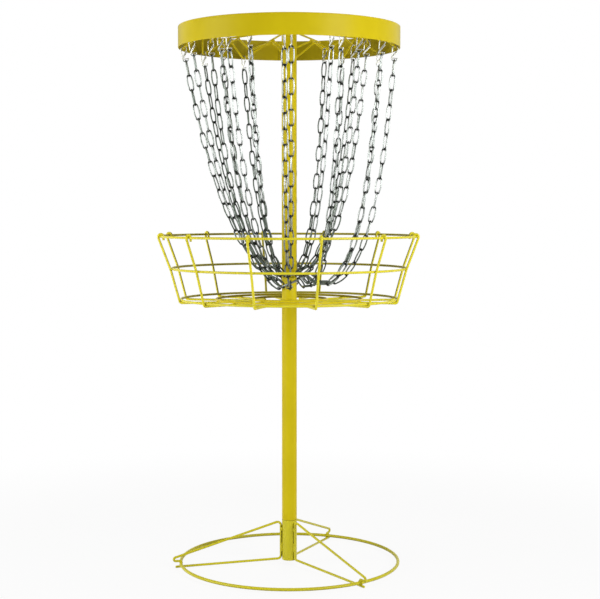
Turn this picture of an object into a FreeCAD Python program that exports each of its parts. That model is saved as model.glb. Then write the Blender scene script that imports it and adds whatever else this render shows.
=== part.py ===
"""Portable disc golf basket: wire base, three-piece pole, wire catching basket and a chain-hung top.

Millimetres, +Z up.  The origin is on the ground under the pole's centre line.
Angles are in degrees about +Z, counted from +X.
"""

import FreeCAD, Part
import math
import os

from FreeCAD import Matrix, Placement, Rotation, Vector

UP = Vector(0, 0, 1)
ORIGIN = Vector(0, 0, 0)

# Bar and wire stock.  A bar is drawn with six flats and the section area of the round bar.
BAR_FLATS = 6
BASE_BAR = 4.0  # radius of the base ring's rod
FRAME_BAR = 3.0  # radius of the wire in the basket and legs
CROWN_BAR = 2.5  # radius of the wire in the top rack and the collector rings
WELD_GAP = 0.2  # left between two bars that a weld bead joins

# Pole: three tubes of one diameter, each plugged into the one below by a swaged spigot.
POLE_R = 19.0
POLE_WALL = 2.0
SPIGOT_CLEARANCE = 0.3
SPIGOT_WALL = 1.8
JOINT_GAP = 0.2
JOINT_CHAMFER = 0.8

# Heights above the ground
SLEEVE_BOTTOM = 12.0
SLEEVE_TOP = 116.0
HUB_BOTTOM = 676.4
HUB_TOP = 736.0
POLE_TOP = 1364.0
LOWER_SPIGOT_END = 22.0
HUB_SPIGOT_END = 596.0
UPPER_SPIGOT_END = 680.0

# Base: a ring on three bent-wire legs
BASE_RING_R = 278.0
LEG_ANGLES = (68.0, 188.0, 308.0)
LEG_TOE = 292.0
LEG_KNEE = 299.0
LEG_RETURN = 276.0
LEG_BEND = 9.0
LEG_TOE_BEND = 5.0

# Catching basket
RIM_R, RIM_Z = 326.0, 841.0
MID_R, MID_Z = 296.0, 760.0
BOTTOM_R, BOTTOM_Z = 274.0, 682.0
FLOOR_RINGS = (185.0, 95.0)
SIDE_WIRES = 12
SIDE_ANGLE = 13.0  # of the first side wire
SHORT_WIRE_END = 90.0  # where every other floor wire stops, just past the small floor ring
HOOK_DROP = 9.0  # how far a hook's end hangs below the rim's centre line

# Top rack
BAND_R = 278.0
BAND_SHEET = 1.5
BAND_BOTTOM, BAND_TOP = 1310.0, 1362.0
SPOKES = 12
SPOKE_ANGLE = 12.5
SPOKE_Z = 1357.0
APEX_Z = 1351.5
OUTER_ROW = (268.0, 1311.0, 233.0, 0.0)  # foot radius and height, tip radius, turn of the foot
INNER_ROW = (197.0, 1325.0, 197.0, 4.0)
HANGER_BEND = 7.0
APEX_TRIM = 0.8  # degrees left free at each end of a hanger, where its neighbour ends too

# Chains, twelve in each of the two rows, with the S-hook at a chain's top counted as a link
CHAINS = 12
OUTER_LINKS = (19, 19, 19, 18, 18, 18, 18, 18, 19, 19, 19, 19)
INNER_LINKS = (17,) * CHAINS
PITCH = 37.0
LINK_WIDTH = 14.6  # over the wire
LINK_WIRE = 1.5  # radius
LINK_REACH = 2.7  # from a pitch point to the centre line of the link's end
LINK_SHOULDER = 2.9  # from the link's end to where its straight sides start
SEAT_OFFSET = 3.4  # from the centre of the bar that an end link hangs on to its pitch point
HOOK_BOW = 8.4  # radius of the bow at each end of an S-hook, to the wire's centre line
HOOK_TAIL = 5.0  # how far a hook's free ends run past its middle
HOOK_TURNS = (-12, -12, -12, 192, 192, 180, 168, 168, -12, 12, 12, 0)  # degrees from square

# Collector rings, which hang in the chains: radius, shift to +X, height, degrees of lean that
# lift the +X side
OUTER_COLLECTOR = (42.0, 10.0, 727.0, 23.0)
INNER_COLLECTOR = (29.5, 0.0, 745.0, 0.0)
COLLECTOR_FAN = 7.5  # degrees, inner chains one way and outer chains the other


def polar(radius, angle, z=0.0):
    """Point at a radius and angle about the pole, at height z."""
    turn = math.radians(angle)
    return Vector(radius * math.cos(turn), radius * math.sin(turn), z)


def bar_corner(radius):
    """Distance from a bar's centre line to its corners, for the round bar's section area."""
    step = 2 * math.pi / BAR_FLATS
    return radius * math.sqrt(math.pi / (0.5 * BAR_FLATS * math.sin(step)))


def bar_flat(radius):
    """Distance from a bar's centre line to its flats."""
    return bar_corner(radius) * math.cos(math.pi / BAR_FLATS)


def section(centre, side, up, radius):
    """Closed outline of a bar's section, with corners on the side axis and flats facing up."""
    corner = bar_corner(radius)
    turns = [2 * math.pi * i / BAR_FLATS for i in range(BAR_FLATS + 1)]
    ring = [centre + side * (corner * math.cos(t)) + up * (corner * math.sin(t)) for t in turns]
    return Part.makePolygon(ring)


def bend_at(before, corner, after, radius):
    """Where an arc of the given radius leaves and rejoins the two runs, and its middle point."""
    into = (before - corner).normalize()
    out = (after - corner).normalize()
    half = into.getAngle(out) / 2
    reach = radius / math.tan(half)
    middle = corner + (into + out).normalize() * (radius / math.sin(half) - radius)
    return corner + into * reach, middle, corner + out * reach


def bent_bar(points, bends, radius):
    """Bar along a flat run of points, with a bend radius at each inner point."""
    edges = []
    last = points[0]
    for i, bend in enumerate(bends, start=1):
        start, middle, end = bend_at(points[i - 1], points[i], points[i + 1], bend)
        if last.distanceToPoint(start) > 1e-6:
            edges.append(Part.LineSegment(last, start).toShape())
        edges.append(Part.Arc(start, middle, end).toShape())
        last = end
    edges.append(Part.LineSegment(last, points[-1]).toShape())
    along = (points[1] - points[0]).normalize()
    side = along.cross(points[2] - points[1]).normalize()
    outline = section(points[0], side, side.cross(along), radius)
    return Part.Wire(edges).makePipe(Part.Face(outline))


def straight_bar(start, end, radius):
    """Straight bar with its flats facing up and down."""
    along = end - start
    side = along.cross(UP).normalize()
    outline = section(start, side, side.cross(along).normalize(), radius)
    return Part.Face(outline).extrude(along)


def ring_bar(ring_radius, z, radius):
    """Bar bent into a level ring about the pole."""
    outline = section(Vector(ring_radius, 0, z), Vector(1, 0, 0), UP, radius)
    return Part.Face(outline).revolve(ORIGIN, UP, 360)


def turned(profile):
    """Solid of revolution about the pole from (radius, height) corners."""
    outline = Part.makePolygon([Vector(r, 0, z) for r, z in profile + profile[:1]])
    return Part.Face(outline).revolve(ORIGIN, UP, 360)


def in_plane(angle, profile):
    """(radius, height) points placed in the upright plane at an angle."""
    return [polar(r, angle, z) for r, z in profile]


def pole_tube(bottom, top, spigot_end):
    """Tube from bottom to top with a swaged spigot that reaches down into the tube below."""
    bore = POLE_R - POLE_WALL
    spigot = bore - SPIGOT_CLEARANCE
    throat = spigot - SPIGOT_WALL
    swage = POLE_WALL + SPIGOT_WALL
    return turned([
        (spigot, spigot_end), (spigot, bottom), (POLE_R - JOINT_CHAMFER, bottom),
        (POLE_R, bottom + JOINT_CHAMFER), (POLE_R, top - JOINT_CHAMFER),
        (POLE_R - JOINT_CHAMFER, top), (bore, top), (bore, bottom + swage),
        (throat, bottom + swage / 2), (throat, spigot_end),
    ])


def base_sleeve():
    """Socket at the middle of the base, with a chamfered mouth."""
    bore = POLE_R - POLE_WALL
    return turned([
        (bore, SLEEVE_BOTTOM), (POLE_R, SLEEVE_BOTTOM), (POLE_R, SLEEVE_TOP - JOINT_CHAMFER),
        (POLE_R - JOINT_CHAMFER, SLEEVE_TOP), (bore, SLEEVE_TOP),
    ])


def base_leg(angle):
    """One wire: under the ring, in to the sleeve, up it, out over the ring and back onto it."""
    ground = bar_flat(FRAME_BAR)
    ring_z = base_ring_height()
    upright = POLE_R + ground + WELD_GAP
    landing = ring_z + bar_flat(BASE_BAR) + ground + WELD_GAP
    knee = landing + 2 * LEG_TOE_BEND
    points = in_plane(angle, [
        (LEG_TOE, ground), (upright, SLEEVE_BOTTOM + ground), (upright, SLEEVE_TOP - ground),
        (LEG_KNEE, knee - ground), (LEG_KNEE - LEG_TOE_BEND, landing), (LEG_RETURN, landing),
    ])
    return bent_bar(points, [LEG_BEND, LEG_BEND, LEG_TOE_BEND, LEG_TOE_BEND], FRAME_BAR)


def base_ring_height():
    """Height of the base ring's centre line, on top of the three rising leg wires."""
    inner_edge = BASE_RING_R - BASE_BAR
    rise = SLEEVE_BOTTOM * (LEG_TOE - inner_edge) / (LEG_TOE - POLE_R)
    return 2 * bar_flat(FRAME_BAR) + bar_flat(BASE_BAR) + rise + WELD_GAP


def side_wire(angle, inner_end):
    """One wire: hooked over the rim, down outside the rings and in along the floor."""
    flat = bar_flat(FRAME_BAR)
    stand_off = flat + bar_corner(FRAME_BAR) + WELD_GAP
    floor_z = BOTTOM_Z - stand_off
    mid = (MID_R + stand_off + WELD_GAP, MID_Z)
    lean = math.atan2(mid[0] - BOTTOM_R - stand_off, MID_Z - floor_z)
    corner = BOTTOM_R + stand_off * math.tan((math.pi / 2 - lean) / 2)
    crest = RIM_Z + stand_off
    inside, outside = RIM_R - stand_off, RIM_R + stand_off
    points = in_plane(angle, [
        (inside, RIM_Z - HOOK_DROP), (inside, crest), (outside, crest),
        (outside, RIM_Z - flat), mid, (corner, floor_z), (inner_end, floor_z),
    ])
    bends = [stand_off, stand_off, HOOK_DROP, 10 * FRAME_BAR, stand_off]
    return bent_bar(points, bends, FRAME_BAR)


def floor_height():
    """Height of the centre line of a ring that lies on the floor wires."""
    flat = bar_flat(FRAME_BAR)
    return BOTTOM_Z - bar_corner(FRAME_BAR) + flat


def band():
    """Rolled sheet hoop, open above and below."""
    inner = BAND_R - BAND_SHEET
    return turned([
        (inner, BAND_BOTTOM), (BAND_R, BAND_BOTTOM), (BAND_R, BAND_TOP), (inner, BAND_TOP),
    ])


def hanger_points(angle, row):
    """Tip, foot and tip of the V of wire that hangs one chain of a row."""
    foot_r, foot_z, apex_r, turn = row
    spread = 180.0 / SPOKES - APEX_TRIM
    return [
        polar(apex_r, angle - spread, APEX_Z), polar(foot_r, angle + turn, foot_z),
        polar(apex_r, angle + spread, APEX_Z),
    ]


def hanger_seat(angle, row):
    """Lowest point of a hanger's centre line, where its chain hangs."""
    return bend_at(*hanger_points(angle, row), HANGER_BEND)[1]


def hanger_row(row):
    """All the hangers of one row; their tips weld under the spokes on either side."""
    angles = [chain_angle(i) for i in range(CHAINS)]
    return [bent_bar(hanger_points(a, row), [HANGER_BEND], CROWN_BAR) for a in angles]


def top_spoke(angle):
    """Radial bar from the pole to the band."""
    start = polar(POLE_R + WELD_GAP, angle, SPOKE_Z)
    return straight_bar(start, polar(BAND_R - BAND_SHEET - WELD_GAP, angle, SPOKE_Z), CROWN_BAR)


def chain_angle(index):
    """Chains hang midway between the spokes."""
    return SPOKE_ANGLE + (index + 0.5) * 360.0 / CHAINS


def solve(rises, low, high):
    """Value at which a function that rises from below zero to above it is zero."""
    for _ in range(60):
        middle = (low + high) / 2
        if rises(middle) > 0:
            high = middle
        else:
            low = middle
    return (low + high) / 2


def hanging_slopes(reach, rise, spans):
    """Slopes of equally heavy links hung between two points, from the lower end up.

    Each link adds the same weight, so the slopes' tangents grow by equal steps.
    """
    def slopes(step):
        def tilted(first):
            return [math.atan(first + step * i) for i in range(len(spans))]

        def too_high(first):
            return sum(d * math.sin(t) for d, t in zip(spans, tilted(first))) - rise

        return tilted(solve(too_high, -100.0, 100.0))

    def too_short(step):
        return reach - sum(d * math.cos(t) for d, t in zip(spans, slopes(step)))

    return slopes(solve(too_short, 0.0, 10.0))


def link_outline(offset):
    """A link's loop in its own X-Z plane, offset from the wire's centre line."""
    half_width = LINK_WIDTH / 2 - LINK_WIRE + offset
    end = PITCH / 2 + LINK_REACH
    slant = math.atan2(LINK_SHOULDER, LINK_WIDTH / 2 - LINK_WIRE)
    tip = end + offset / math.cos(slant)
    shoulder = tip - half_width * math.tan(slant)
    corners = [
        (0, tip), (half_width, shoulder), (half_width, -shoulder),
        (0, -tip), (-half_width, -shoulder), (-half_width, shoulder), (0, tip),
    ]
    return Part.makePolygon([Vector(x, 0, z) for x, z in corners])


def wire_half():
    """Half the width of a square wire with the section area of the round one."""
    return LINK_WIRE * math.sqrt(math.pi) / 2


def square_wire(outline):
    """Flat outline thickened to square wire, centred on the X-Z plane."""
    outline.translate(Vector(0, -wire_half(), 0))
    return outline.extrude(Vector(0, 2 * wire_half(), 0)).Solids[0]


def link():
    """One closed link, centred on the origin."""
    half = wire_half()
    return square_wire(Part.Face(link_outline(half)).cut(Part.Face(link_outline(-half))))


def hook_run():
    """Centre line of an S-hook in its own X-Z plane, from its upper free end to its lower one."""
    bow_z = PITCH / 2 + LINK_REACH - HOOK_BOW
    turns = [math.radians(180 - 45 * i) for i in range(5)]
    upper = [(-HOOK_BOW, -HOOK_TAIL)]
    upper += [(HOOK_BOW * math.cos(t), bow_z + HOOK_BOW * math.sin(t)) for t in turns]
    lower = [(-x, -z) for x, z in reversed(upper)]
    return [Vector(x, 0, z) for x, z in upper + lower]


def hook():
    """S-hook closed round the hanger and the top link, centred on the origin."""
    points = hook_run()
    runs = [(after - before).normalize() for before, after in zip(points, points[1:])]
    left, right = [], []
    for point, before, after in zip(points, runs[:1] + runs, runs + runs[-1:]):
        middle = (before + after).normalize()
        mitre = Vector(0, 1, 0).cross(middle) * (wire_half() / before.dot(middle))
        left.append(point + mitre)
        right.append(point - mitre)
    return square_wire(Part.Face(Part.makePolygon(left + right[::-1] + left[:1])))


def collector_pose(collector):
    """Where a collector ring hangs: its centre, and the lean that lifts its +X side."""
    _, shift, height, lift = collector
    return Placement(Vector(shift, 0, height), Rotation(Vector(0, 1, 0), -lift))


def collector_ring(collector):
    """Loose ring that gathers the lower ends of one row of chains round the pole."""
    ring = ring_bar(collector[0], 0, CROWN_BAR)
    ring.Placement = collector_pose(collector)
    return ring


def chain_ends(index, row, collector, fan):
    """Points on the centre lines of the collector ring and the hanger that a chain joins."""
    angle = chain_angle(index)
    seat = collector_pose(collector).multVec(polar(collector[0], angle + fan))
    return seat, hanger_seat(angle, row)


def turn_per_link(index, links):
    """Angle in radians that each link is turned from the last, which brings the hook square.

    It is the angle nearest a quarter turn that adds up to the hook's own turn.
    """
    own = HOOK_TURNS[index]
    whole_turns = round((90 * (links - 1) - own) / 360)
    return math.radians((own + 360 * whole_turns) / (links - 1))


def chain(index, row, collector, links, fan):
    """Links from the collector ring up to the S-hook on a hanger's foot."""
    low, high = chain_ends(index, row, collector, fan)
    level = Vector(high.x - low.x, high.y - low.y, 0)
    outward = Vector(level).normalize()
    across = UP.cross(outward)
    end_span = PITCH - SEAT_OFFSET
    spans = [end_span] + [PITCH] * (links - 2) + [end_span]
    slopes = hanging_slopes(level.Length, high.z - low.z, spans)
    patterns = [link()] * (links - 1) + [hook()]
    turn = turn_per_link(index, links)
    at = low
    solids = []
    for i, (pattern, span, slope) in enumerate(zip(patterns, spans, slopes)):
        along = outward * math.cos(slope) + UP * math.sin(slope)
        thick = across * math.cos(turn * i) + along.cross(across) * math.sin(turn * i)
        wide = thick.cross(along)
        lower_seat = at + along * (span - PITCH) if i == 0 else at
        centre = lower_seat + along * (PITCH / 2)
        placed = pattern.copy()
        placed.Placement = Placement(Matrix(
            wide.x, thick.x, along.x, centre.x,
            wide.y, thick.y, along.y, centre.y,
            wide.z, thick.z, along.z, centre.z,
            0, 0, 0, 1,
        ))
        solids.append(placed)
        at = at + along * span
    return solids


def base_nodes():
    """Ring, legs and socket that stand on the ground."""
    nodes = {"base_ring": ring_bar(BASE_RING_R, base_ring_height(), BASE_BAR)}
    for i, angle in enumerate(LEG_ANGLES, start=1):
        nodes[f"base_leg_{i}"] = base_leg(angle)
    nodes["base_sleeve"] = base_sleeve()
    return nodes


def basket_nodes():
    """Hub, rings and wires of the catching basket."""
    nodes = {
        "basket_hub": pole_tube(HUB_BOTTOM, HUB_TOP, HUB_SPIGOT_END),
        "basket_rim": ring_bar(RIM_R, RIM_Z, FRAME_BAR),
        "basket_middle_ring": ring_bar(MID_R, MID_Z, FRAME_BAR),
        "basket_bottom_ring": ring_bar(BOTTOM_R, BOTTOM_Z, FRAME_BAR),
        "basket_floor_rings": [ring_bar(r, floor_height(), FRAME_BAR) for r in FLOOR_RINGS],
    }
    hub_end = POLE_R + 2 * WELD_GAP
    for i in range(SIDE_WIRES):
        inner_end = SHORT_WIRE_END if i % 2 == 0 else hub_end
        wire = side_wire(SIDE_ANGLE + i * 360.0 / SIDE_WIRES, inner_end)
        nodes[f"basket_wire_{i + 1:02d}"] = wire
    return nodes


def top_nodes():
    """Upper pole, band and the wire rack that carries the chains."""
    spoke_step = 360.0 / SPOKES
    return {
        "upper_pole": pole_tube(HUB_TOP + JOINT_GAP, POLE_TOP, UPPER_SPIGOT_END),
        "band": band(),
        "top_spokes": [top_spoke(SPOKE_ANGLE + i * spoke_step) for i in range(SPOKES)],
        "outer_hangers": hanger_row(OUTER_ROW),
        "inner_hangers": hanger_row(INNER_ROW),
        "outer_collector_ring": collector_ring(OUTER_COLLECTOR),
        "inner_collector_ring": collector_ring(INNER_COLLECTOR),
    }


def chain_nodes():
    """Two rows of chains."""
    nodes = {}
    rows = {
        "outer": (OUTER_ROW, OUTER_COLLECTOR, OUTER_LINKS, -COLLECTOR_FAN),
        "inner": (INNER_ROW, INNER_COLLECTOR, INNER_LINKS, COLLECTOR_FAN),
    }
    for name, (row, collector, links, fan) in rows.items():
        for i in range(CHAINS):
            nodes[f"{name}_chain_{i + 1:02d}"] = chain(i, row, collector, links[i], fan)
    return nodes


def all_nodes():
    """Every node's name with its solid or solids."""
    lower_top = HUB_BOTTOM - JOINT_GAP
    return {
        **base_nodes(),
        "lower_pole": pole_tube(SLEEVE_TOP + JOINT_GAP, lower_top, LOWER_SPIGOT_END),
        **basket_nodes(),
        **top_nodes(),
        **chain_nodes(),
    }


def main():
    """Write one STEP file per node."""
    os.makedirs("parts", exist_ok=True)
    for name, solids in all_nodes().items():
        shape = Part.makeCompound(solids) if isinstance(solids, list) else solids
        shape.exportStep(f"parts/{name}.step")


main()
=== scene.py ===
"""Disc golf basket: the wire, tube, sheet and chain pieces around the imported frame.

Metres, +Z up. The origin is on the ground under the pole's centre line, and angles are
in degrees about +Z, counted from +X.
"""

import logging
import math
from collections.abc import Sequence
from dataclasses import dataclass, field
from enum import Enum

import bpy
import numpy as np
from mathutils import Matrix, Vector


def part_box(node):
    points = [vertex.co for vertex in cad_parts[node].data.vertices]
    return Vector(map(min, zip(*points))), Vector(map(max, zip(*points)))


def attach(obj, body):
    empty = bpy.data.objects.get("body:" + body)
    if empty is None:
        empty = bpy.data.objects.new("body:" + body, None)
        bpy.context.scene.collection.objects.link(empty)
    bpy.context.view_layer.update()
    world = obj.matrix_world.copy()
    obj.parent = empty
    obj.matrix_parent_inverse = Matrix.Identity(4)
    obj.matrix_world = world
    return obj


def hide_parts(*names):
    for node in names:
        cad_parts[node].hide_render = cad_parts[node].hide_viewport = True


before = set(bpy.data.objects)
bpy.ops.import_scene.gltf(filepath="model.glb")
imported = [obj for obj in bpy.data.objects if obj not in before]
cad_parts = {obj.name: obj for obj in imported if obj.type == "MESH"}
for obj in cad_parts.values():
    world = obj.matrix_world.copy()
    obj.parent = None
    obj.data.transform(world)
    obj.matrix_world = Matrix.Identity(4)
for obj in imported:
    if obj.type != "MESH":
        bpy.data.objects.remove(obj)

Colour = tuple[float, float, float, float]
Pair = tuple[float, float]  # a radius and a height, or a low and a high value
LOG = logging.getLogger("disc_basket")
UP = np.array((0.0, 0.0, 1.0))
WHITE: Colour = (1.0, 1.0, 1.0, 1.0)
CORNER_REACH = 1.0996  # of a frame bar's corners from its centre line, in bar radii
BAR_SIDES = 16  # points round a bar's section
MM = 0.001
HAIR = 0.0001  # a gap or a tolerance too small to see
SMALL = 1e-9
RING_BEAD = (0.10, 0.0011)  # swell of a ring's weld as a share of the bar, and its width
UNDERCUT = (0.035, 0.0007, 0.0024)  # depth, width and distance of the dip at each side of it
SOOT = (0.18, 0.0009, 0.0022)  # darkness, width and distance of the soot there


class Body(Enum):
    """Bodies of the frame that pieces ride on, besides the chains' own."""

    BASE = "base"
    LOWER_POLE = "lower_pole"
    BASKET = "basket"
    TOP = "top"


class Mark(Enum):
    """Values painted on a mesh's points for a finish to read."""

    TONE = "tone"  # how dark a piece of stock is, from 0 to 1; on the chains it also carries painted light and shade
    SHADE_AND_GRIME = "shade_and_grime"  # painted shade in creases, recesses and sheltered sides, soot at welds, grime where links bear
    RUB_AND_PAINTED_SHEEN = "rub"  # coating rubbed thin by sliding, and on the hooks a painted sheen


class Slot(Enum):
    """Material slots of the record."""

    PAINT = "powder_coat"
    ZINC = "zinc_steel"


# ---------------------------------------------------------------- shader expressions


class Signal:
    """Output of a shader node, with arithmetic that adds the nodes it needs."""

    def __init__(self, net: "Net", socket: bpy.types.NodeSocket) -> None:
        """Wrap an output socket of a net."""
        self.net = net
        self.socket = socket

    def _join(self, operation: str, left: "Value", right: "Value") -> "Signal":
        """Combine two values with the node that suits their kind.

        Args:
            operation: Math name, such as MULTIPLY.
            left: First operand.
            right: Second operand.

        Returns:
            The result, a colour or vector if either operand is one.
        """
        kinds = {x.socket.type for x in (left, right) if isinstance(x, Signal)}
        if "RGBA" in kinds:
            settings = {"data_type": "RGBA", "blend_type": operation}
            sides = {"Factor": 1.0, "A": self._fill(left, 4), "B": self._fill(right, 4)}
            return self.net.node("Mix", settings, sides, "Result")
        if "VECTOR" in kinds:
            sides = {0: self._fill(left, 3), 1: self._fill(right, 3)}
            return self.net.node("VectorMath", {"operation": operation}, sides)
        return self.net.node("Math", {"operation": operation}, {0: left, 1: right})

    @staticmethod
    def _fill(value: "Value", size: int) -> "Value":
        """Repeat a plain number to fill a vector (3) or an opaque colour (4)."""
        plain = isinstance(value, (int, float))
        return (float(value),) * 3 + (1.0,) * (size - 3) if plain else value

    def __add__(self, other: "Value") -> "Signal":
        """Sum with another value."""
        return self._join("ADD", self, other)

    def __radd__(self, other: "Value") -> "Signal":
        """Sum with a value on the left."""
        return self._join("ADD", other, self)

    def __sub__(self, other: "Value") -> "Signal":
        """Difference from another value."""
        return self._join("SUBTRACT", self, other)

    def __rsub__(self, other: "Value") -> "Signal":
        """Difference of a value on the left."""
        return self._join("SUBTRACT", other, self)

    def __mul__(self, other: "Value") -> "Signal":
        """Product with another value."""
        return self._join("MULTIPLY", self, other)

    def __rmul__(self, other: "Value") -> "Signal":
        """Product with a value on the left."""
        return self._join("MULTIPLY", other, self)

    def at_least(self, other: "Value") -> "Signal":
        """Larger of this number and another."""
        return self._join("MAXIMUM", self, other)

    def step(self, low: float, high: float) -> "Signal":
        """Rise smoothly from 0 where this is low to 1 where it is high."""
        sides = {"Value": self, "From Min": low, "From Max": high}
        return self.net.node("MapRange", {"interpolation_type": "SMOOTHSTEP"}, sides)


Value = Signal | float | tuple[float, ...]


class Net:
    """Node tree of one material or world."""

    def __init__(self, owner: bpy.types.Material | bpy.types.World) -> None:
        """Empty the owner's tree.

        Args:
            owner: Material or world whose nodes are made here.
        """
        owner.use_nodes = True
        self.tree = owner.node_tree
        self.tree.nodes.clear()

    def node(
        self,
        kind: str,
        settings: dict[str, object] | None = None,
        sockets: dict[int | str, Value] | None = None,
        output: str | None = None,
    ) -> Signal | None:
        """Make a node: its settings first, then its sockets.

        Args:
            kind: Node type without its ShaderNode prefix.
            settings: Properties of the node, such as a Math node's operation.
            sockets: Values or signals by socket name or number.
            output: Name of the output to take, or None for the first.

        Returns:
            The output, or None from a node that has none.
        """
        node = self.tree.nodes.new(f"ShaderNode{kind}")
        for key, value in (settings or {}).items():
            setattr(node, key, value)
        for key, value in (sockets or {}).items():
            if isinstance(key, int):
                socket = node.inputs[key]
            else:
                socket = next(s for s in node.inputs if s.enabled and s.name == key)
            if isinstance(value, Signal):
                self.tree.links.new(value.socket, socket)
            else:
                socket.default_value = value
        found = [s for s in node.outputs if s.enabled and output in (None, s.name)]
        return Signal(self, found[0]) if found else None

    def tint(self, low: Value, high: Value, share: Value) -> Signal:
        """Colour between two others, at a share from 0 to 1 of the way."""
        sides = {"Factor": share, "A": low, "B": high}
        return self.node("Mix", {"data_type": "RGBA"}, sides, "Result")

    def place(self) -> Signal:
        """Place of a surface point in its piece's own space."""
        return self.node("TexCoord", output="Object")

    def mark(self, mark: Mark) -> Signal:
        """Value painted on the mesh's points."""
        return self.node("Attribute", {"attribute_name": mark.value}, output="Fac")

    def noise(self, spot: Value, scale: float, detail: float = 2.0) -> Signal:
        """Cloudy noise from 0 to 1, of so many waves per metre and octaves of detail."""
        return self.node("TexNoise", None, {"Vector": spot, "Scale": scale, "Detail": detail})

    def relief(self, height: Value, depth: float, strength: float) -> Signal:
        """Normal bent by a pattern from 0 to 1 that is depth metres deep."""
        sides = {"Height": height, "Distance": depth, "Strength": strength}
        return self.node("Bump", None, sides)

    def cover(self, shader: Signal) -> None:
        """Send a shader to the material's surface."""
        self.node("OutputMaterial", None, {"Surface": shader})


# ---------------------------------------------------------------- finishes


@dataclass(frozen=True)
class Finish:
    """Coating or plating of the metal."""

    name: str
    slot: Slot

    def weave(self, net: Net) -> Signal:
        """Make the finish's nodes in a net and give its shader."""
        raise NotImplementedError

    def material(self) -> bpy.types.Material:
        """Look up the finish's material, and make it the first time.

        Returns:
            The material.
        """
        found = bpy.data.materials.get(self.name)
        if found is None:
            found = bpy.data.materials.new(self.name)
            net = Net(found)
            net.cover(self.weave(net))
        return found


@dataclass(frozen=True)
class PowderCoat(Finish):
    """Semi-gloss powder coat: orange peel, a cloudy film, and painted shade in its creases and on
    its sheltered sides.
    """

    colour: Colour = (0.740, 0.590, 0.008, 1.0)
    thick: Colour = (0.640, 0.490, 0.004, 1.0)
    # colour of the painted shade, and of soot at welds
    crease: Colour = (0.050, 0.036, 0.004, 1.0)
    steel: Colour = (0.42, 0.41, 0.38, 1.0)
    cloud: float = 9.0  # these four in waves per metre
    fleck: float = 1500.0
    scratch: float = 900.0
    peel: float = 620.0
    draw: tuple[float, float, float] = (1.0, 1.0, 0.04)  # scratches run along Z
    clouded: float = 0.55  # these two are shares of the thick colour
    flecked: float = 0.16
    depth: float = 0.00035  # of the orange peel
    relief: float = 0.10  # its strength
    roughness: float = 0.32
    sheen: float = 0.20

    def weave(self, net: Net) -> Signal:
        """Make the coat's nodes.

        Args:
            net: Net to make them in.

        Returns:
            The shader.
        """
        spot = net.place()
        cloud = net.noise(spot, self.cloud, 3.0).step(0.30, 0.72)
        fleck = net.noise(spot, self.fleck, 1.0).step(0.35, 0.75)
        # painted shade, with soot at welds
        shade_and_grime = net.mark(Mark.SHADE_AND_GRIME)
        scratch = net.noise(spot * self.draw, self.scratch, 3.0).step(0.42, 0.62)
        worn = net.mark(Mark.RUB_AND_PAINTED_SHEEN) * scratch
        share = cloud * self.clouded + fleck * self.flecked
        film = net.tint(self.colour, self.thick, share)
        gloss = self.roughness + cloud * 0.05 + fleck * 0.04 + shade_and_grime * 0.3 + worn * 0.08
        looks = {
            "Base Color": net.tint(net.tint(film, self.crease, shade_and_grime), self.steel, worn),
            "Roughness": gloss,
            "Metallic": worn * 0.9,
            "Normal": net.relief(net.noise(spot, self.peel), self.depth, self.relief),
            "Specular IOR Level": self.sheen,
        }
        return net.node("BsdfPrincipled", None, looks)


@dataclass(frozen=True)
class ZincPlate(Finish):
    """Bright zinc on drawn wire: streaky plate, darker with grime where links bear and with
    painted shade in the links.
    """

    bright: Colour = (0.45, 0.48, 0.46, 1.0)
    dark: Colour = (0.10, 0.125, 0.10, 1.0)
    # colour of grime where links bear and of painted shade in the links
    grime: Colour = (0.010, 0.014, 0.009, 1.0)
    # lighter, warmer plate that paints the hooks' sheen
    rub_and_painted_sheen: Colour = (0.66, 0.64, 0.54, 1.0)
    patch: float = 260.0  # these two in waves per metre
    grain: float = 1600.0
    depth: float = 0.0001  # of the grain
    relief: float = 0.15  # its strength
    roughness: float = 0.22

    def weave(self, net: Net) -> Signal:
        """Make the plate's nodes.

        Args:
            net: Net to make them in.

        Returns:
            The shader.
        """
        spot = net.place()
        patch = net.noise(spot, self.patch, 3.0)
        grain = net.noise(spot, self.grain)
        # the tone mark carries the chains' painted light and shade
        share = (patch * 0.7 + net.mark(Mark.TONE) * 0.6).step(0.34, 0.95)
        # grime where links bear, and painted shade inside the links and at their ends
        shade_and_soil = (net.mark(Mark.SHADE_AND_GRIME) + grain * 0.25 - 0.125).step(0.12, 0.86)
        plate = net.tint(net.tint(self.bright, self.dark, share), self.rub_and_painted_sheen, net.mark(Mark.RUB_AND_PAINTED_SHEEN))
        looks = {
            "Base Color": net.tint(plate, self.grime, shade_and_soil),
            "Roughness": self.roughness + share * 0.12 + shade_and_soil * 0.3,
            "Metallic": 1.0 - shade_and_soil * 0.5,
            "Normal": net.relief(grain, self.depth, self.relief),
        }
        return net.node("BsdfPrincipled", None, looks)


# ---------------------------------------------------------------- mesh making


def unit(rows: np.ndarray) -> np.ndarray:
    """Vectors of length one, along the last axis."""
    return rows / np.maximum(np.linalg.norm(rows, axis=-1, keepdims=True), SMALL)


def polar(radius: float, angle: float, height: float = 0.0) -> np.ndarray:
    """Point at a radius and angle about the pole."""
    turn = math.radians(angle)
    return np.array((radius * math.cos(turn), radius * math.sin(turn), height))


def ease(values: np.ndarray, low: float, high: float) -> np.ndarray:
    """Smooth rise from 0 at low to 1 at high."""
    share = np.clip((values - low) / (high - low), 0.0, 1.0)
    return share * share * (3.0 - 2.0 * share)


def hump(away: np.ndarray, width: float, centre: float = 0.0) -> np.ndarray:
    """Bell curve of height one about a centre."""
    return np.exp(-(((away - centre) / width) ** 2))


def apart(angles: np.ndarray, angle: float) -> np.ndarray:
    """Degrees between each angle and another, the short way round."""
    return np.abs((angles - angle + 180.0) % 360.0 - 180.0)


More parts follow.
